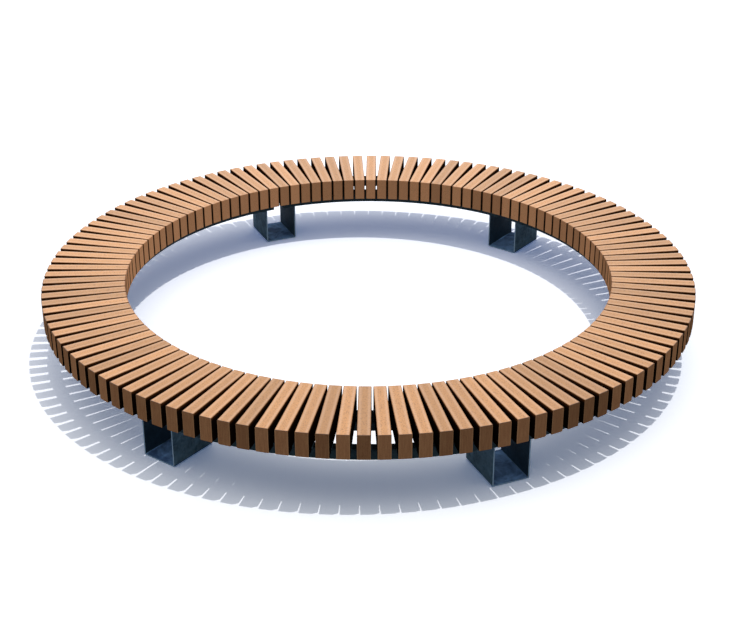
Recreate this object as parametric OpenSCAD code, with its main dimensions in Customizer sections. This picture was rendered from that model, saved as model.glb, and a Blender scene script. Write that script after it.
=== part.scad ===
// Ring bench that stands round a tree: hardwood slats on edge point at the trunk, notched over two
// rings of folded steel rail, and U-shaped plate legs carry the rails. The origin is the middle
// of the ring on the ground, +Z is up, and the first leg stands on +X.

/* [Ring] */
// Diameter over the outer ends of the slats
outer_d = 4000; // [3800:10:4400]
// Height of the sitting surface above the ground
seat_h = 450; // [400:1:500]

/* [Slats] */
// Length of a slat, which is the depth of the seat
slat_l = 500; // [450:1:540]
// Width of a slat
slat_w = 70; // [66:1:75]
// Height of a slat, which stands on edge
slat_d = 145; // [120:1:160]
// Slats from the middle of one leg to the middle of the next
slats_per_bay = 20; // [16:1:20]
// Chamfer along the long edges of a slat
arris = 3; // [1:0.5:6]
// Chamfer round the two ends of a slat
end_arris = 2.5; // [0.5:0.5:4]
// Depth to which the slats are notched over the two rails
notch_d = 15; // [8:1:20]

/* [Rails] */
// Thickness of the folded rail plate
rail_t = 6; // [4:1:7]
// Outside radius of the folds in the rails
rail_bend = 8; // [8:1:10]
// Width of the inner rail
inner_rail_w = 131; // [126:1:140]
// Distance from the inner ends of the slats to the inner rail
inner_rail_set = 24; // [10:1:30]
// Depth of the inner rail's lip on the trunk side
inner_low_lip = 44; // [30:1:50]
// Depth of the inner rail's lip on the outside
inner_deep_lip = 53; // [40:1:60]
// Width of the outer rail
outer_rail_w = 62; // [60:1:72]
// Distance from the outer ends of the slats to the outer rail
outer_rail_set = 73; // [60:1:80]
// Depth of both lips of the outer rail
outer_lip = 60; // [45:1:70]
// Gap between two rail ends, along the inner edge of the inner rail
joint_gap = 70; // [20:1:72]

/* [Legs] */
// Outside width of a leg
leg_w = 222; // [210:1:232]
// Thickness of the leg plate
leg_t = 8; // [6:1:12]
// Inside radius of the two bends at the foot of a leg
leg_bend = 3; // [2:1:16]
// Distance from the inner edge of the inner rail to the leg
leg_set = 70; // [60:1:74]
// Length of leg under the outer rail, past its inner lip
leg_seat = 28; // [24:1:35]
// Width of the tabs that stand out from the top of a leg
tab_w = 46; // [40:1:60]

/* [Fixings] */
// Diameter of the screws that hold the slats
screw_d = 8; // [6:1:10]
// Length of the screws under the head
screw_l = 70; // [50:1:90]
// Distance of each screw from the middle line of its slat
screw_off = 24; // [23:0.5:26]
// Distance from the inner rail's edge on the trunk side to its row of screws
inner_screw_edge = 28; // [20:1:45]
// Distance from the outer rail's outside edge to its row of screws
outer_screw_edge = 17; // [16:0.5:18]
// Diameter of the bolts that hold the rails to the legs
bolt_d = 10; // [8:1:10]
// Length of those bolts over the head
bolt_l = 30; // [28:1:34]

/* [Hidden] */
// Legs in the ring, and slat nodes from one rail joint to the next
leg_n = 6;
batch_n = 4;
$fn = 64;
ring_fn = 180;

// Running out of cuts past a face, play round a screw or bolt, and play round a lip
over = 5;
hole_play = 0.5;
pilot_play = 0.1;
tip_play = 3;
lip_play = 1;
seat_play = 0.2;
notch_play = 1;
leg_slat_play = 1;
tab_play = 3;
tab_screw_play = 12;

// Heads and flange nuts
screw_head_w = 13;
screw_head_h = 5.5;
screw_tip_l = 8;
screw_tip_d = 2;
bolt_head_d = 20;
bolt_head_h = 5;
flange_d = 22;
flange_t = 2;
nut_w = 15;
nut_h = 10;
hex_fn = 6;
hex_share = cos(180 / hex_fn);

// Radii from the middle of the ring
slat_r = outer_d / 2 - slat_l;
inner_rail_r = slat_r + inner_rail_set;
inner_lip_r = inner_rail_r + inner_rail_w - rail_t;
outer_rail_r = outer_d / 2 - outer_rail_set - outer_rail_w;
leg_r = inner_rail_r + leg_set;
leg_end_r = outer_rail_r + rail_t + leg_seat;
inner_screw_r = inner_rail_r + inner_screw_edge;
outer_screw_r = outer_rail_r + outer_rail_w - outer_screw_edge;
tab_reach = leg_w / 2 + tab_w;
inner_tab_r = leg_r + tab_play;
inner_tab_l = sqrt(pow(inner_lip_r - tab_play, 2) - pow(tab_reach, 2)) - inner_tab_r;
outer_tab_r = outer_rail_r + rail_t + tab_play;
outer_tab_l = outer_screw_r - tab_screw_play - outer_tab_r;
inner_bolt_r = inner_tab_r + inner_tab_l / 2;
outer_bolt_r = outer_tab_r + outer_tab_l / 2;
bolt_side = leg_w / 2 + tab_w / 2;

// Heights above the ground
slat_z = seat_h - slat_d;
rail_z = slat_z + notch_d;
leg_top = rail_z - rail_t;

// Angles
bay_a = 360 / leg_n;
pitch = bay_a / slats_per_bay;
gap_a = joint_gap / inner_rail_r * 180 / PI;

// The rail joint at leg k lies in the gap beside the leg's middle slat, on either side in turn
function joint_side(k) = (k % 2 == 0) ? 1 : -1;
function joint_a(k) = bay_a * k + joint_side(k) * pitch / 2;
function first_slat(k) = slats_per_bay * k + (joint_side(k) > 0 ? 1 : 0);
function last_slat(k) = slats_per_bay * (k + 1) - (joint_side(k + 1) > 0 ? 0 : 1);
function slat_count(k) = last_slat(k) - first_slat(k) + 1;
function batch_start(k, b) = first_slat(k) + floor(slat_count(k) * b / batch_n);

// Screws stand on the side of their slat that faces the middle of the rail
function screw_y(k, i) = screw_off * sign(first_slat(k) + last_slat(k) - 2 * i);

leg_names = [for (k = [1 : leg_n]) str("leg_", k)];
inner_names = [for (k = [1 : leg_n]) str("inner_rail_", k)];
outer_names = [for (k = [1 : leg_n]) str("outer_rail_", k)];
screw_names = [for (k = [1 : leg_n]) str("slat_screws_", k)];
bolt_names = [for (k = [1 : leg_n]) str("leg_bolts_", k)];
slat_names = [for (k = [1 : leg_n], b = [1 : batch_n]) str("slats_", k, "_", b)];

// Rectangle with its corners cut, middle of its low edge at the origin
module eased(w, h, cut) {
    polygon([
        [-w / 2 + cut, 0], [w / 2 - cut, 0], [w / 2, cut], [w / 2, h - cut],
        [w / 2 - cut, h], [-w / 2 + cut, h], [-w / 2, h - cut], [-w / 2, cut]
    ]);
}

// Quarter of a round fold: outside radius r, plate t, corner of the fold at the origin
module fold(r, t) {
    intersection() {
        square(r);
        translate([r, r]) difference() {
            circle(r);
            circle(r - t);
        }
    }
}

// Section of a rail: X runs out from its inner edge, and its top face is at Y zero
module rail_section(w, lip_a, lip_b) {
    translate([rail_bend, -rail_t]) square([w - 2 * rail_bend, rail_t]);
    mirror([0, 1]) fold(rail_bend, rail_t);
    translate([w, 0]) mirror([1, 0]) mirror([0, 1]) fold(rail_bend, rail_t);
    translate([0, -lip_a]) square([rail_t, lip_a - rail_bend]);
    translate([w - rail_t, -lip_b]) square([rail_t, lip_b - rail_bend]);
}

// Hole for one screw or bolt, up through a plate
module hole(d, z, h) {
    translate([0, 0, z - over]) cylinder(d = d, h = h + 2 * over);
}

// What stands at each screw of sector k
module at_screws(k, r) {
    for (i = [first_slat(k) : last_slat(k)])
        rotate([0, 0, pitch * i]) translate([r, screw_y(k, i), 0]) children();
}

// Countersunk head of a leg bolt, and the seat that it leaves in a rail
module sunk_head() {
    translate([0, 0, rail_z - seat_play - bolt_head_h])
        cylinder(d1 = bolt_d, d2 = bolt_head_d, h = bolt_head_h);
}

module sunk_hole() {
    hole(bolt_d + 2 * hole_play, leg_top, rail_t);
    sunk_head();
    translate([0, 0, rail_z - seat_play]) cylinder(d = bolt_head_d, h = over);
}

// One rail from the joint at leg k to the joint at leg k + 1
module rail(k, r, w, lip_a, lip_b, screw_r, bolt_r) {
    start = joint_a(k) + gap_a / 2;
    end = joint_a(k + 1) - gap_a / 2;
    difference() {
        translate([0, 0, rail_z]) rotate([0, 0, start])
            rotate_extrude(angle = end - start, $fn = ring_fn)
                translate([r, 0]) rail_section(w, lip_a, lip_b);
        at_screws(k, screw_r) hole(screw_d + 2 * hole_play, leg_top, rail_t);
        rotate([0, 0, bay_a * k]) translate([bolt_r, bolt_side, 0]) sunk_hole();
        rotate([0, 0, bay_a * (k + 1)]) translate([bolt_r, -bolt_side, 0]) sunk_hole();
    }
}

module inner_rail(k) {
    color([0.30, 0.37, 0.40])
        rail(k, inner_rail_r, inner_rail_w, inner_low_lip, inner_deep_lip, inner_screw_r, inner_bolt_r);
}

module outer_rail(k) {
    color([0.30, 0.37, 0.40])
        rail(k, outer_rail_r, outer_rail_w, outer_lip, outer_lip, outer_screw_r, outer_bolt_r);
}

// Slot that lets a rail's lip and the inside of its fold down into the leg
module lip_slot(r, depth) {
    side = lip_play + rail_bend - rail_t;
    rotate_extrude($fn = ring_fn)
        translate([r - side, rail_z - depth - lip_play])
            square([rail_t + 2 * side, depth + over]);
}

// Room over a leg for the slats, between the two rails
module slat_room() {
    translate([inner_lip_r, -leg_w / 2 - over, slat_z - leg_slat_play])
        cube([outer_rail_r - inner_lip_r, leg_w + 2 * over, notch_d + over]);
}

// Section of a leg: a flat U with round bends, on the ground
module leg_section() {
    out_r = leg_bend + leg_t;
    translate([-leg_w / 2 + out_r, 0]) square([leg_w - 2 * out_r, leg_t]);
    for (side = [0, 1]) mirror([side, 0]) translate([-leg_w / 2, 0]) {
        fold(out_r, leg_t);
        translate([0, out_r]) square([leg_t, leg_top - out_r]);
    }
}

// Tab that stands out from the top of a leg, with the hole for its bolt
module tab(r, l, bolt_r, side) {
    difference() {
        translate([r, side > 0 ? leg_w / 2 - leg_t : -leg_w / 2 - tab_w, leg_top - leg_t])
            cube([l, leg_t + tab_w, leg_t]);
        translate([bolt_r, side * bolt_side, 0])
            hole(bolt_d + 2 * hole_play, leg_top - leg_t, leg_t);
    }
}

// U-shaped plate leg k, open towards the trunk and away from it
module leg(k) {
    color([0.27, 0.33, 0.37]) rotate([0, 0, bay_a * k]) {
        difference() {
            translate([leg_r, 0, 0]) rotate([90, 0, 90])
                linear_extrude(leg_end_r - leg_r) leg_section();
            lip_slot(inner_lip_r, inner_deep_lip);
            lip_slot(outer_rail_r, outer_lip);
            slat_room();
        }
        for (side = [-1, 1]) {
            tab(inner_tab_r, inner_tab_l, inner_bolt_r, side);
            tab(outer_tab_r, outer_tab_l, outer_bolt_r, side);
        }
    }
}

// Blank of one slat, its length along X
module slat_blank() {
    intersection() {
        translate([slat_r, 0, slat_z]) rotate([90, 0, 90])
            linear_extrude(slat_l) eased(slat_w, slat_d, arris);
        translate([slat_r + slat_l / 2, slat_w / 2, slat_z]) rotate([90, 0, 0])
            linear_extrude(slat_w) eased(slat_l, slat_d, end_arris);
        translate([slat_r, 0, slat_z]) rotate([0, 0, -90])
            linear_extrude(slat_d) eased(slat_w, slat_l, end_arris);
    }
}

// Notch in the underside of a slat, over a rail of this width
module notch(r, w) {
    translate([r - notch_play, -slat_w / 2 - over, slat_z - over])
        cube([w + 2 * notch_play, slat_w + 2 * over, notch_d + over]);
}

// Blind pilot hole for a screw, up from the top of a rail
module pilot() {
    bite = screw_l - rail_t;
    translate([0, 0, rail_z - over])
        cylinder(d = screw_d + 2 * pilot_play, h = over + bite + tip_play);
}

// Batch b of the slats on rail k
module slats(k, b) {
    color([0.80, 0.60, 0.42])
        for (i = [batch_start(k, b) : batch_start(k, b + 1) - 1])
            rotate([0, 0, pitch * i]) difference() {
                slat_blank();
                notch(inner_rail_r, inner_rail_w);
                notch(outer_rail_r, outer_rail_w);
                translate([inner_screw_r, screw_y(k, i), 0]) pilot();
                translate([outer_screw_r, screw_y(k, i), 0]) pilot();
            }
}

// Hexagon-head wood screw, its head under the rail
module screw() {
    translate([0, 0, leg_top - screw_head_h])
        cylinder(d = screw_head_w / hex_share, h = screw_head_h, $fn = hex_fn);
    translate([0, 0, leg_top]) cylinder(d = screw_d, h = screw_l - screw_tip_l);
    translate([0, 0, leg_top + screw_l - screw_tip_l])
        cylinder(d1 = screw_d, d2 = screw_tip_d, h = screw_tip_l);
}

module slat_screws(k) {
    color([0.62, 0.64, 0.66]) {
        at_screws(k, inner_screw_r) screw();
        at_screws(k, outer_screw_r) screw();
    }
}

// Countersunk bolt down through rail and tab, with a flange nut under the tab
module leg_bolt() {
    tab_z = leg_top - leg_t;
    sunk_head();
    translate([0, 0, rail_z - seat_play - bolt_l])
        cylinder(d = bolt_d, h = bolt_l - bolt_head_h);
    difference() {
        union() {
            translate([0, 0, tab_z - flange_t]) cylinder(d = flange_d, h = flange_t);
            translate([0, 0, tab_z - nut_h])
                cylinder(d = nut_w / hex_share, h = nut_h - flange_t, $fn = hex_fn);
        }
        hole(bolt_d + 2 * pilot_play, tab_z - nut_h, nut_h);
    }
}

module leg_bolts(k) {
    color([0.62, 0.64, 0.66]) rotate([0, 0, bay_a * k])
        for (r = [inner_bolt_r, outer_bolt_r], side = [-1, 1])
            translate([r, side * bolt_side, 0]) leg_bolt();
}

for (k = [0 : leg_n - 1]) {
    leg(k);
    inner_rail(k);
    outer_rail(k);
    slat_screws(k);
    leg_bolts(k);
    for (b = [0 : batch_n - 1])
        slats(k, b);
}
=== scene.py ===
"""Looks for the ring bench that stands round a tree: hardwood slats on folded and bent steel plates."""

import math
import random

import bmesh
import bpy
from mathutils import Matrix, Vector


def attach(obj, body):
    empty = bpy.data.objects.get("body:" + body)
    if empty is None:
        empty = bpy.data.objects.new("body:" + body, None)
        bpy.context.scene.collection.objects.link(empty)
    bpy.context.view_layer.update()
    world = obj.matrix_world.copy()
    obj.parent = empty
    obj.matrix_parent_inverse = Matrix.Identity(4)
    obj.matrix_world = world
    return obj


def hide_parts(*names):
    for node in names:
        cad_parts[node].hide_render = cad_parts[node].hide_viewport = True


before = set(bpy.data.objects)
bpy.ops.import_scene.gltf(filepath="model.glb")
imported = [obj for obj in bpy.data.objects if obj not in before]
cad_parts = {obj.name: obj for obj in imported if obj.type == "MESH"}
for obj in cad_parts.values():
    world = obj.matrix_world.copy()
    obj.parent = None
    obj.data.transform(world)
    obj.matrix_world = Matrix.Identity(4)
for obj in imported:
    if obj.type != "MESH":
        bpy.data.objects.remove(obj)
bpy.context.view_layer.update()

# Sizes of the bench in metres, as in the CAD source
OUTER_R = 2.000
SEAT_H = 0.450
SLATS = 120
SLAT_L = 0.500
SLAT_W = 0.070
SLAT_D = 0.145
ARRIS = 0.003
END_ARRIS = 0.0025
NOTCH_D = 0.015
NOTCH_PLAY = 0.001
RAIL_RADII = ((1.524, 1.655), (1.865, 1.927))
LEGS = 6
LEG_W = 0.222
LEG_T = 0.008
# Nodes of slats on each length of rail
BATCHES = 4

PITCH = 2 * math.pi / SLATS
SLAT_Z = SEAT_H - SLAT_D
SLAT_MID_R = OUTER_R - SLAT_L / 2

# How the photograph was taken, found by fitting the ring's two ellipses and the legs' corners
PHOTO_W_PX = 737
FOCAL_PX = 1440.66
SENSOR_MM = 36.0
CAMERA_AZIMUTH = math.radians(-83.2888)
CAMERA_R = 8.1588
CAMERA_Z = 4.2089
CAMERA_YAW = math.radians(0.0032)
CAMERA_PITCH = math.radians(26.619)
CAMERA_ROLL = math.radians(-0.129)
# Turns axes that run to the photograph's right, away from its camera and up into the bench's
PHOTO_AXES = Matrix.Rotation(CAMERA_AZIMUTH + math.pi / 2, 4, "Z")

# A face looks along an axis where its normal has more than this of that axis
FACING = 0.9


# ---------------------------------------------------------------- shader maths
class Socket:
    """A number that varies over a surface. Arithmetic on it adds Math nodes."""

    def __init__(self, shader, link):
        self.shader, self.link = shader, link

    def _with(self, operation, *values):
        return self.shader.node("ShaderNodeMath", {"operation": operation}, values)

    def __add__(self, other):
        return self._with("ADD", self, other)

    def __radd__(self, other):
        return self._with("ADD", other, self)

    def __sub__(self, other):
        return self._with("SUBTRACT", self, other)

    def __rsub__(self, other):
        return self._with("SUBTRACT", other, self)

    def __mul__(self, other):
        return self._with("MULTIPLY", self, other)

    def __rmul__(self, other):
        return self._with("MULTIPLY", other, self)

    def abs(self):
        return self._with("ABSOLUTE", self)

    def max(self, other):
        return self._with("MAXIMUM", self, other)

    def ramp(self, low, high):
        """0 below low, 1 above high and a smooth step between them."""
        return self.shader.node(
            "ShaderNodeMapRange", {"interpolation_type": "SMOOTHSTEP"}, (self, low, high)
        )

    def within(self, size, depths):
        """0 at the first depth inside a face at half this size from the middle, 1 at the second."""
        return self.ramp(size / 2 - depths[0], size / 2 - depths[1])


class Shader:
    """The nodes of one material, or of the world."""

    def __init__(self, owner):
        owner.use_nodes = True
        self.owner = owner
        self.tree = owner.node_tree
        self.principled = self.tree.nodes.get("Principled BSDF")
        self.output = next(n for n in self.tree.nodes if n.type.startswith("OUTPUT"))

    @classmethod
    def of_material(cls, name):
        return cls(bpy.data.materials.new(name))

    def node(self, kind, settings=None, values=(), out=0):
        """Adds a node: its settings first, then the values or links of its inputs."""
        made = self.tree.nodes.new(kind)
        for key, value in (settings or {}).items():
            setattr(made, key, value)
        pairs = values.items() if isinstance(values, dict) else enumerate(values)
        for key, value in pairs:
            self.put(made.inputs[key], value)
        return Socket(self, made.outputs[out])

    def put(self, socket, value):
        if isinstance(value, Socket):
            self.tree.links.new(value.link, socket)
        else:
            socket.default_value = value

    def attribute(self, name, out="Fac"):
        return self.node("ShaderNodeAttribute", {"attribute_name": name}, out=out)

    def place(self, kind="Object"):
        return self.node("ShaderNodeTexCoord", out=kind)

    def axes(self, vector):
        return [self.node("ShaderNodeSeparateXYZ", {}, (vector,), out=axis) for axis in "XYZ"]

    def dot(self, vector, direction):
        return self.node(
            "ShaderNodeVectorMath", {"operation": "DOT_PRODUCT"}, (vector, direction), out="Value"
        )

    def blend(self, factor, low, high):
        """Colour from low to high. Each is a linear colour or a link."""
        return self.node("ShaderNodeMix", {"data_type": "RGBA"}, {0: factor, 6: low, 7: high}, out=2)

    def mix(self, factor, low, high):
        """Colour from low to high. Each is an sRGB colour in 0 to 255 or a link."""
        return self.blend(factor, colour(low), colour(high))

    def noise(self, vector, scale, detail, rough, distort=0.0):
        """Noise of this scale, which is one number or one for each axis."""
        if isinstance(scale, tuple):
            vector = self.node("ShaderNodeMapping", {}, {"Vector": vector, "Scale": scale})
            scale = 1.0
        return self.node(
            "ShaderNodeTexNoise",
            {},
            {
                "Vector": vector,
                "Scale": scale,
                "Detail": detail,
                "Roughness": rough,
                "Distortion": distort,
            },
        )

    def layered(self, base, vector, layers):
        """The base colour with each layer of noise over it in turn, and the noises by name."""
        noises = {}
        for name, (scale, detail, rough, distort, reach, strength, shade) in layers.items():
            noises[name] = self.noise(vector, scale, detail, rough, distort)
            base = self.mix(noises[name].ramp(*reach) * strength, base, shade)
        return base, noises

    def seen(self):
        """1 where the camera, a reflection or a clear surface looks at this, 0 where it gives light."""
        camera, glossy, clear = (
            self.node("ShaderNodeLightPath", out=f"Is {ray} Ray")
            for ray in ("Camera", "Glossy", "Transmission")
        )
        return camera.max(glossy).max(clear)

    def shine(self, **values):
        for key, value in values.items():
            self.put(self.principled.inputs[key.replace("_", " ")], value)

    def bump(self, height, strength, distance):
        normal = self.node(
            "ShaderNodeBump", {}, {"Strength": strength, "Distance": distance, "Height": height}
        )
        self.put(self.principled.inputs["Normal"], normal)

    def finish(self, surface):
        self.put(self.output.inputs["Surface"], surface)
        return self.owner


def colour(value):
    """Keeps a link, and makes an sRGB colour in 0 to 255 linear."""
    if isinstance(value, Socket):
        return value
    return tuple(linear(c / 255) for c in value) + (1.0,)


def linear(c):
    return c / 12.92 if c <= 0.04045 else ((c + 0.055) / 1.055) ** 2.4


# ---------------------------------------------------------------- hardwood
# Layers of noise in the wood: how fine along, across and up the slat, detail, roughness, distortion,
# where the layer starts and where it is full, strength, colour
FIGURE = {
    "cloud": ((9, 34, 34), 3.0, 0.6, 0.3, (0.35, 0.75), 0.4, (190, 138, 92)),
    "mottle": ((46, 90, 90), 3.0, 0.6, 0.0, (0.52, 0.74), 0.3, (178, 126, 82)),
    "fibre": ((14, 420, 420), 3.0, 0.6, 0.0, (0.5, 0.75), 0.2, (160, 112, 72)),
    "speck": ((110, 150, 150), 2.0, 0.7, 0.0, (0.5, 0.66), 0.8, (158, 108, 70)),
}
END_FIGURE = {
    "pores": ((30, 300, 300), 2.0, 0.5, 0.0, (0.5, 0.72), 0.5, (104, 70, 44)),
    "streak": ((30, 170, 12), 3.0, 0.6, 0.0, (0.42, 0.68), 0.35, (206, 158, 114)),
}
# Bands on a slat's top, as distances from its middle line: where they start and where they are full
PALE_BAND_IN = (0.010, 0.024)
PALE_BAND_OUT = (0.026, 0.033)
SHADED_EDGE = (0.0295, 0.0345)
# Zones near a slat's ends, sides and top, as depths inside that face: where they start and are full
END_DARK_BAND = (0.0062, 0.0036)
SAWN_END = (0.0022, 0.0008)
END_SIDE_BAND = (0.0052, 0.0028)
END_TOP_LINE = (0.0036, 0.002)
LIT_SIDE = (0.022, 0.002)
OILED_TOP = (0.0022, 0.0004)
# Half the length, about the slat's middle, over which its outer half's colours take over
HALVES_BLEND = 0.1
# How strong each of them is. A side band on the end is weaker by the second number on the outer end.
WEAR_AND_HIGHLIGHT_STRENGTH = 0.45
SHADED_EDGE_STRENGTH = 0.6
END_DARK_BAND_STRENGTH = 0.6
END_SIDE_BAND_STRENGTH = (0.9, 0.3)
END_TOP_LINE_STRENGTH = 0.8
# Their colours, sRGB. Pairs are of a dark and a pale slat, of a slat's inner and outer end, the inner
# end painted paler as painted light, or of the lower part of its side, in painted shade, and the
# painted light that reaches it through the slit.
PLAIN_WOOD = ((203, 147, 93), (216, 156, 101))
WEAR_AND_HIGHLIGHT_WOOD = (226, 181, 146)
SHADED_EDGE_WOOD = (128, 86, 54)
END_DARK_BAND_WOOD = ((172, 112, 62), (130, 84, 48))
END_GRAIN_AND_LIGHT_WOOD = ((223, 162, 118), (174, 124, 88))
END_SIDE_BAND_WOOD = ((36, 21, 12), (206, 160, 118))
END_TOP_LINE_WOOD = (84, 50, 30)
SIDE_SHADE_AND_LIGHT_WOOD = ((28, 16, 9), (92, 52, 26))
# What a whole step of tone adds to the brightness, what it adds more on a sawn end, and what a sawn
# end loses
TONE_GAIN = 0.33
END_TONE_GAIN = 0.24
END_LOSS = 0.18


def hardwood():
    """Oiled hardwood. Attributes of the slats: grain is the place on the slat's own axes, X along it
    from its middle and Z up, figure is that place moved to wood of its own, tone is how pale the slat
    is, at random and with painted light that is strongest on one side of the ring, and side is how
    much painted shade a face has."""
    s = Shader.of_material("oiled_hardwood")
    tone = s.attribute("tone")
    x, y, z = s.axes(s.attribute("grain", "Vector"))
    along, across = x.abs(), y.abs()
    outer = x.ramp(-HALVES_BLEND, HALVES_BLEND)
    sawn = along.within(SLAT_L, SAWN_END)
    figure = s.attribute("figure", "Vector")

    # Along the slat: a paler band on either side, partly wear and partly painted highlight, painted
    # shade on the long edges, which darkens the gaps, and a darker band at the ends
    wood, noises = s.layered(s.mix(tone, *PLAIN_WOOD), figure, FIGURE)
    band = across.ramp(*PALE_BAND_IN) * (1 - across.ramp(*PALE_BAND_OUT))
    wood = s.mix(band * WEAR_AND_HIGHLIGHT_STRENGTH, wood, WEAR_AND_HIGHLIGHT_WOOD)
    wood = s.mix(across.ramp(*SHADED_EDGE) * SHADED_EDGE_STRENGTH, wood, SHADED_EDGE_WOOD)
    end_dark_band = along.within(SLAT_L, END_DARK_BAND) * END_DARK_BAND_STRENGTH
    wood = s.mix(end_dark_band, wood, s.mix(outer, *END_DARK_BAND_WOOD))

    # Across the sawn end: the inner end painted paler as painted light, its sides darkened as painted
    # shade of the narrow gaps, and paler sides on the outer end
    end, end_noises = s.layered(s.mix(outer, *END_GRAIN_AND_LIGHT_WOOD), figure, END_FIGURE)
    strength, weaker = END_SIDE_BAND_STRENGTH
    end_side_band = across.within(SLAT_W, END_SIDE_BAND) * (strength - weaker * outer)
    end = s.mix(end_side_band, end, s.mix(outer, *END_SIDE_BAND_WOOD))

    # The outer end's top edge is dark, and the slats' tones differ most on the sawn ends
    top_edge = z.within(SLAT_D, END_TOP_LINE) * sawn * outer
    faced = s.mix(top_edge * END_TOP_LINE_STRENGTH, s.mix(sawn, wood, end), END_TOP_LINE_WOOD)
    gain = 1.0 + TONE_GAIN * tone + sawn * (END_TONE_GAIN * tone - END_LOSS)
    toned = s.node("ShaderNodeVectorMath", {"operation": "SCALE"}, {0: faced, "Scale": gain})
    # Painted shade on the sides and undersides, with painted light near the top of a side
    dark = s.mix(z.within(SLAT_D, LIT_SIDE), *SIDE_SHADE_AND_LIGHT_WOOD)
    s.shine(
        Base_Color=s.mix(s.attribute("side"), toned, dark),
        Roughness=0.6 + 0.16 * noises["speck"] + 0.15 * sawn,
        Specular_IOR_Level=0.0,
        Coat_Weight=z.within(SLAT_D, OILED_TOP),
        Coat_Roughness=0.3,
        Coat_IOR=1.6,
    )
    relief = noises["fibre"] * 0.5 + noises["speck"] * 0.4 + end_noises["pores"] * sawn
    s.bump(relief, strength=0.3, distance=0.0005)
    return s.owner


# ---------------------------------------------------------------- steel
# How fine the zinc's crystals, clouds, runs down the plate and grit are, where its clouds and runs
# start and are full, the colour of the thin cut edges, partly bare steel and partly a painted
# highlight, and how strong crystals, runs and cuts are
CRYSTAL_SCALE = 70.0
CLOUD_SCALE = 9.0
RUN_SCALE = (26, 26, 3.5)
GRIT_SCALE = 320.0
CLOUD_REACH = (0.36, 0.64)
RUN_REACH = (0.55, 0.8)
CUT_EDGE_AND_HIGHLIGHT_ZINC = (174, 206, 236)
CRYSTAL_STRENGTH = 0.35
RUN_STRENGTH = 0.3
CUT_EDGE_HIGHLIGHT_STRENGTH = 0.9


def galvanised(name, dark, mid, light, painted_shade_colour, foot=None):
    """Dull galvanised steel. Attributes of the plates pick the faces in painted shade, the top of a
    foot, which has two colours of its own as a painted reflection, and the thin cut edges, which have a
    painted highlight."""
    s = Shader.of_material(name)
    place = s.place()
    cells = s.node("ShaderNodeTexVoronoi", {}, {"Vector": place, "Scale": CRYSTAL_SCALE}, out="Color")
    crystal = s.node("ShaderNodeSeparateColor", {}, (cells,))
    cloud = s.noise(place, CLOUD_SCALE, 5.0, 0.62, 0.5)
    run = s.noise(place, RUN_SCALE, 4.0, 0.6)
    grit = s.noise(place, GRIT_SCALE, 2.0, 0.6)
    zinc = s.mix(cloud.ramp(*CLOUD_REACH), dark, mid)
    zinc = s.mix(crystal * CRYSTAL_STRENGTH, zinc, light)
    zinc = s.mix(run.ramp(*RUN_REACH) * RUN_STRENGTH, zinc, light)
    # Painted shade on the hollow sides of the legs and the tops of the rails
    zinc = s.mix(s.attribute("painted_shade"), zinc, s.mix(cloud, painted_shade_colour, dark))
    # Painted reflection: a foot's top takes two blue colours of its own, as if it reflected the shaded
    # floor
    if foot:
        zinc = s.mix(s.attribute("foot"), zinc, s.mix(cloud.ramp(*CLOUD_REACH), *foot))
    s.shine(
        Base_Color=s.mix(s.attribute("rim") * CUT_EDGE_HIGHLIGHT_STRENGTH, zinc, CUT_EDGE_AND_HIGHLIGHT_ZINC),
        Metallic=0.05,
        Specular_IOR_Level=0.08,
        Roughness=0.55 + 0.16 * crystal + 0.14 * grit,
    )
    s.bump(crystal * 0.25 + grit * 0.35 + cloud * 0.5, strength=0.25, distance=0.0008)
    return s.owner


def zinc_plate():
    """Bright zinc of the screws and bolts."""
    s = Shader.of_material("bright_zinc")
    haze = s.noise(s.place(), 120.0, 3.0, 0.6)
    s.shine(
        Base_Color=s.mix(haze.ramp(0.35, 0.7), (150, 154, 160), (188, 192, 198)),
        Metallic=0.9,
        Roughness=0.30 + 0.2 * haze,
    )
    s.bump(haze, strength=0.1, distance=0.0003)
    return s.owner


# ---------------------------------------------------------------- pieces
def add_object(name, data):
    made = bpy.data.objects.new(name, data)
    bpy.context.scene.collection.objects.link(made)
    return made


def mesh_of(name, bm):
    mesh = bpy.data.meshes.new(name)
    bm.to_mesh(mesh)
    bm.free()
    return mesh


def finish_piece(piece, material, node):
    piece.data.materials.clear()
    piece.data.materials.append(material)
    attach(piece, "root")
    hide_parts(node)


# ---------------------------------------------------------------- slats
# Farther than this from a slat's middle is one of its ends
END_X = SLAT_L * 0.49
# How much painted shade an underside has, where a side has 1
UNDERSIDE_SHADE = 0.6
# Direction round the ring, as an angle from the camera's direction, in which painted light makes the
# slats palest
PAINTED_LIGHT_SIDE = math.radians(-155)
# The middle of the slats' tones, how far painted light moves it round the ring, and how far each slat
# strays at random
MID_TONE = 0.5
PAINTED_LIGHT_SWING = 0.26
TONE_SPREAD = 0.42
# How far along, across and above a slat its pith is
PITH_PLACE = ((-3, 3), (-0.05, 0.05), (-0.16, -0.04))
# Below this a face's normal points down
DOWNWARD = -0.5


def slat_outline():
    """Side of a slat, with a notch over each rail: its corners in order, X along it and Z up."""
    low, high = -SLAT_D / 2, SLAT_D / 2
    corners = [(-SLAT_L / 2, high), (-SLAT_L / 2, low)]
    for near, far in RAIL_RADII:
        start, stop = near - NOTCH_PLAY - SLAT_MID_R, far + NOTCH_PLAY - SLAT_MID_R
        corners += [(start, low), (start, low + NOTCH_D), (stop, low + NOTCH_D), (stop, low)]
    return corners + [(SLAT_L / 2, low), (SLAT_L / 2, high)]


def bevel(bm, edges, width, segments):
    bmesh.ops.bevel(
        bm, geom=edges, offset=width, offset_type="OFFSET", segments=segments,
        profile=0.5, affect="EDGES", material=-1, clamp_overlap=True,
    )


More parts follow.
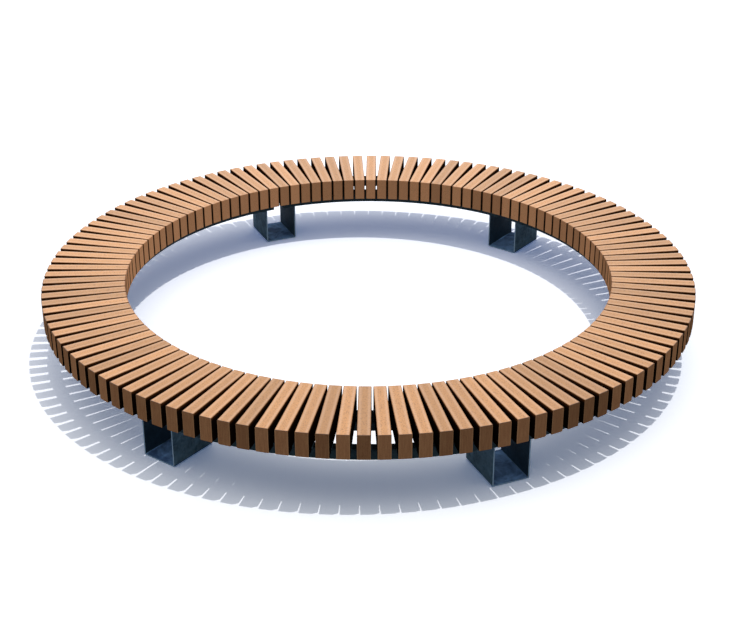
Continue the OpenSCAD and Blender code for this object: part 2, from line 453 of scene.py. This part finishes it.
def eased_slat():
    """One slat on its own axes: X along it from its middle, Y across, Z from its middle up."""
    bm = bmesh.new()
    side = bm.faces.new([bm.verts.new((x, -SLAT_W / 2, z)) for x, z in slat_outline()])
    grown = bmesh.ops.extrude_face_region(bm, geom=[side])["geom"]
    moved = [v for v in grown if isinstance(v, bmesh.types.BMVert)]
    bmesh.ops.translate(bm, vec=(0, SLAT_W, 0), verts=moved)
    bmesh.ops.recalc_face_normals(bm, faces=bm.faces)
    long_edges = [
        e for e in bm.edges
        if abs((e.verts[0].co - e.verts[1].co).x) > ARRIS
        and all(abs(abs(v.co.z) - SLAT_D / 2) < ARRIS / 2 for v in e.verts)
    ]
    bevel(bm, long_edges, ARRIS, 2)
    ends = [e for e in bm.edges if all(abs(v.co.x) > END_X for v in e.verts)]
    bevel(bm, ends, END_ARRIS, 1)
    return bm


def painted_shade_of(face):
    """Painted shade: 1 on the sides of a slat and the walls of its notches, less on its undersides, 0
    elsewhere.
    """
    if abs(face.normal.y) > FACING:
        return 1.0
    if abs(face.normal.x) > FACING and abs(face.calc_center_median().x) < END_X:
        return 1.0
    return UNDERSIDE_SHADE if face.normal.z < DOWNWARD else 0.0


def slat_batch(name, numbers, draw):
    """Slats with these numbers as one piece, each with its own coordinates, figure and tone; the tone
    holds painted light round the ring as well as random tone.
    """
    bm = bmesh.new()
    grain = bm.verts.layers.float_vector.new("grain")
    figure = bm.verts.layers.float_vector.new("figure")
    tone = bm.verts.layers.float.new("tone")
    side = bm.faces.layers.float.new("side")
    one = eased_slat()
    # A bevel lists its faces in another order each run
    one.verts.index_update()
    faces = sorted(one.faces, key=lambda f: sorted(v.index for v in f.verts))
    lift = Matrix.Translation((SLAT_MID_R, 0, (SLAT_Z + SEAT_H) / 2))
    for number in numbers:
        angle = PITCH * number
        # Painted light: the slats are made paler towards one side of the ring, as if lit more strongly
        # there
        painted_light = math.cos(angle - CAMERA_AZIMUTH - PAINTED_LIGHT_SIDE)
        shade = MID_TONE + PAINTED_LIGHT_SWING * painted_light + draw.uniform(-TONE_SPREAD, TONE_SPREAD)
        flip = draw.choice((-1, 1))
        pith = Vector([draw.uniform(*span) for span in PITH_PLACE])
        stand = Matrix.Rotation(angle, 4, "Z") @ lift
        made = {}
        for v in one.verts:
            made[v] = bm.verts.new(stand @ v.co)
            made[v][grain] = v.co
            made[v][figure] = Vector((v.co.x * flip, v.co.y, v.co.z)) + pith
            made[v][tone] = shade
        for f in faces:
            bm.faces.new([made[v] for v in f.verts])[side] = painted_shade_of(f)
    one.free()
    return add_object(name, mesh_of(name, bm))


def first_slat(leg):
    """The slats of a length of rail start at its leg's number, or one later for every other leg."""
    return leg * SLATS // LEGS + (leg + 1) % 2


def batch_numbers(leg, batch):
    first = first_slat(leg)
    count = first_slat(leg + 1) - first
    return range(first + count * batch // BATCHES, first + count * (batch + 1) // BATCHES)


# ---------------------------------------------------------------- plates
MARKS = ("painted_shade", "foot", "rim")
RAIL_EASE = 0.0008
LEG_EASE = 0.001
# Heights under which a cut edge of a rail or a leg is marked, and a foot's top is looked for
RAIL_RIM_Z = SLAT_Z - 0.012
LEG_RIM_Z = SLAT_Z - 0.02
FOOT_Z = 0.02
# Faces nearer than this to the middle of a leg's width are inside its U
INNER_Y = LEG_W / 2 - LEG_T + 0.001
# Angles between faces: under the first they merge, under the second they shade smoothly, and over
# the third the edge is eased
FLAT = math.radians(0.3)
SMOOTH = math.radians(30)
EASED = math.radians(35)
SAME_POINT = 1e-6


def rail_marks(middle, normal):
    """The top of a rail, under the slats, has painted shade as dark as a hollow side, and the lips'
    lower edges are cut edges with a painted highlight.
    """
    return {"painted_shade": normal.z > FACING, "rim": normal.z < -FACING and middle.z < RAIL_RIM_Z}


def leg_marks(middle, normal):
    """Faces of a leg on its own axes, X along it: inside the U, in painted shade, on its foot, with a
    painted reflection, and cut, with a painted highlight.
    """
    inner = abs(middle.y) < INNER_Y
    return {
        "painted_shade": inner and abs(normal.y) > FACING,
        "foot": inner and normal.z > FACING and middle.z < FOOT_Z,
        "rim": abs(normal.x) > FACING and middle.z < LEG_RIM_Z,
    }


def eased_plate(name, node, ease, marks, upright):
    """A copy of a folded plate from the frame, its faces marked and its sharp edges eased."""
    bm = bmesh.new()
    bm.from_mesh(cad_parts[node].data)
    bmesh.ops.remove_doubles(bm, verts=bm.verts, dist=SAME_POINT)
    bmesh.ops.dissolve_limit(bm, angle_limit=FLAT, verts=bm.verts, edges=bm.edges)
    layers = {mark: bm.faces.layers.float.new(mark) for mark in MARKS}
    for f in bm.faces:
        for mark, holds in marks(upright @ f.calc_center_median(), upright @ f.normal).items():
            f[layers[mark]] = float(holds)
    piece = add_object(name, mesh_of(name, bm))
    piece.data.shade_smooth()
    piece.data.set_sharp_from_angle(angle=SMOOTH)
    easing = piece.modifiers.new("eased_edges", "BEVEL")
    easing.width = ease
    easing.segments = 1
    easing.limit_method = "ANGLE"
    easing.angle_limit = EASED
    return piece


# ---------------------------------------------------------------- the bench
SEED = 41
draw = random.Random(SEED)
wood = hardwood()
# The rails' steel is the legs' galvanised steel painted darker, as painted shade under the slats
shaded_rail_zinc = galvanised(
    "galvanised_rail_shaded", dark=(28, 46, 54), mid=(46, 66, 76), light=(72, 94, 104), painted_shade_colour=(4, 6, 8)
)
leg_zinc = galvanised(
    "galvanised_leg", dark=(56, 88, 112), mid=(100, 136, 164), light=(138, 168, 190),
    painted_shade_colour=(16, 26, 40), foot=((70, 102, 150), (122, 164, 218)),
)
bright_zinc = zinc_plate()

for leg in range(LEGS):
    for batch in range(BATCHES):
        label = f"{leg + 1}_{batch + 1}"
        piece = slat_batch(f"hardwood_slats_{label}", batch_numbers(leg, batch), draw)
        finish_piece(piece, wood, f"slats_{label}")
    upright = Matrix.Rotation(-2 * math.pi / LEGS * leg, 3, "Z")
    for kind in ("inner", "outer"):
        node = f"{kind}_rail_{leg + 1}"
        piece = eased_plate(f"folded_{node}", node, RAIL_EASE, rail_marks, upright)
        finish_piece(piece, shaded_rail_zinc, node)
    node = f"leg_{leg + 1}"
    piece = eased_plate(f"bent_{node}", node, LEG_EASE, leg_marks, upright)
    finish_piece(piece, leg_zinc, node)
    for kind in ("slat_screws", "leg_bolts"):
        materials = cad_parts[f"{kind}_{leg + 1}"].data.materials
        materials.clear()
        materials.append(bright_zinc)


# ---------------------------------------------------------------- floor, light and camera
FLOOR_HALF = 40.0
FLOOR_Z = -0.0005
# The floor changes from this far in front of the ring's middle to as far behind it. Each pair is in
# linear light, front then behind: what it sends back of the light, darker in front as painted shade,
# and a blue painted glow that shows even in the shadow.
FLOOR_BLEND = 3.0
FLOOR_WHITE = ((1.27, 1.27, 1.27, 1), (1.4, 1.4, 1.4, 1))
FLOOR_PAINTED_GLOW = ((0.0, 0.034, 0.105, 1), (0.0, 0.044, 0.18, 1))
# The floor's colour in the light that it sends on to the bench
FLOOR_BOUNCE = (0.20, 0.21, 0.23, 1)

SKY_COLOUR = (1, 1, 0.985, 1)
SKY_STRENGTH = 0.89
# Slope of the sky's brightness, on the photograph's axes
SKY_SLANT = Vector((-0.2, 0.3, 0))

# The lamp stands where the photograph's shadow falls from, on the photograph's axes
LAMP_PLACE = Vector((6.9, 0.95, 35.0))
LAMP_R = 0.16
LAMP_WATTS = 19500.0

CLIP_END = 200.0


def floor_material():
    """White where it is seen, with painted shade in front of the ring and a blue painted glow in its
    shadow, and dull in the light that it sends on.
    """
    s = Shader.of_material("pale_floor")
    s.tree.nodes.remove(s.principled)
    backward = PHOTO_AXES @ Vector((0, 1, 0))
    behind = s.dot(s.place(), backward).ramp(-FLOOR_BLEND, FLOOR_BLEND)
    white = s.node("ShaderNodeBsdfDiffuse", {}, {"Color": s.blend(behind, *FLOOR_WHITE)})
    painted_glow = s.node("ShaderNodeEmission", {}, {"Color": s.blend(behind, *FLOOR_PAINTED_GLOW)})
    shown = s.node("ShaderNodeAddShader", {}, (white, painted_glow))
    dull = s.node("ShaderNodeBsdfDiffuse", {}, {"Color": FLOOR_BOUNCE})
    return s.finish(s.node("ShaderNodeMixShader", {}, (s.seen(), dull, shown)))


def pale_floor():
    bm = bmesh.new()
    bmesh.ops.create_grid(bm, x_segments=1, y_segments=1, size=FLOOR_HALF)
    bmesh.ops.translate(bm, vec=(0, 0, FLOOR_Z), verts=bm.verts)
    floor = add_object("pale_floor", mesh_of("pale_floor", bm))
    floor.data.materials.append(floor_material())
    return floor


def studio_world():
    """Soft light, strongest overhead and behind the ring. Where it is seen, it is a white backdrop."""
    s = Shader(bpy.data.worlds.new("studio"))
    towards = s.place("Generated")
    height = s.axes(towards)[2].max(0.0)
    slant = s.dot(towards, PHOTO_AXES @ SKY_SLANT)
    strength = height * (1 + slant) * SKY_STRENGTH
    sky = s.node("ShaderNodeBackground", {}, {"Color": SKY_COLOUR, "Strength": strength})
    backdrop = s.node("ShaderNodeBackground", {}, {"Color": (1, 1, 1, 1)})
    return s.finish(s.node("ShaderNodeMixShader", {}, (s.seen(), sky, backdrop)))


def high_lamp():
    """Gives the sharp edge of the shadow."""
    data = bpy.data.lights.new("high_lamp", "POINT")
    data.energy = LAMP_WATTS
    data.shadow_soft_size = LAMP_R
    add_object("high_lamp", data).location = PHOTO_AXES @ LAMP_PLACE


def photo_camera():
    data = bpy.data.cameras.new("photo_camera")
    data.sensor_fit = "HORIZONTAL"
    data.sensor_width = SENSOR_MM
    data.lens = FOCAL_PX * SENSOR_MM / PHOTO_W_PX
    data.clip_end = CLIP_END
    camera = add_object("photo_camera", data)
    stand = Matrix.Translation((0, -CAMERA_R, CAMERA_Z))
    yaw = Matrix.Rotation(-CAMERA_YAW, 4, "Z")
    pitch = Matrix.Rotation(math.pi / 2 - CAMERA_PITCH, 4, "X")
    roll = Matrix.Rotation(CAMERA_ROLL, 4, "Z")
    camera.matrix_world = PHOTO_AXES @ stand @ yaw @ pitch @ roll
    return camera


pale_floor()
bpy.context.scene.world = studio_world()
high_lamp()
bpy.context.scene.camera = photo_camera()
bpy.context.scene.view_settings.view_transform = "Standard"
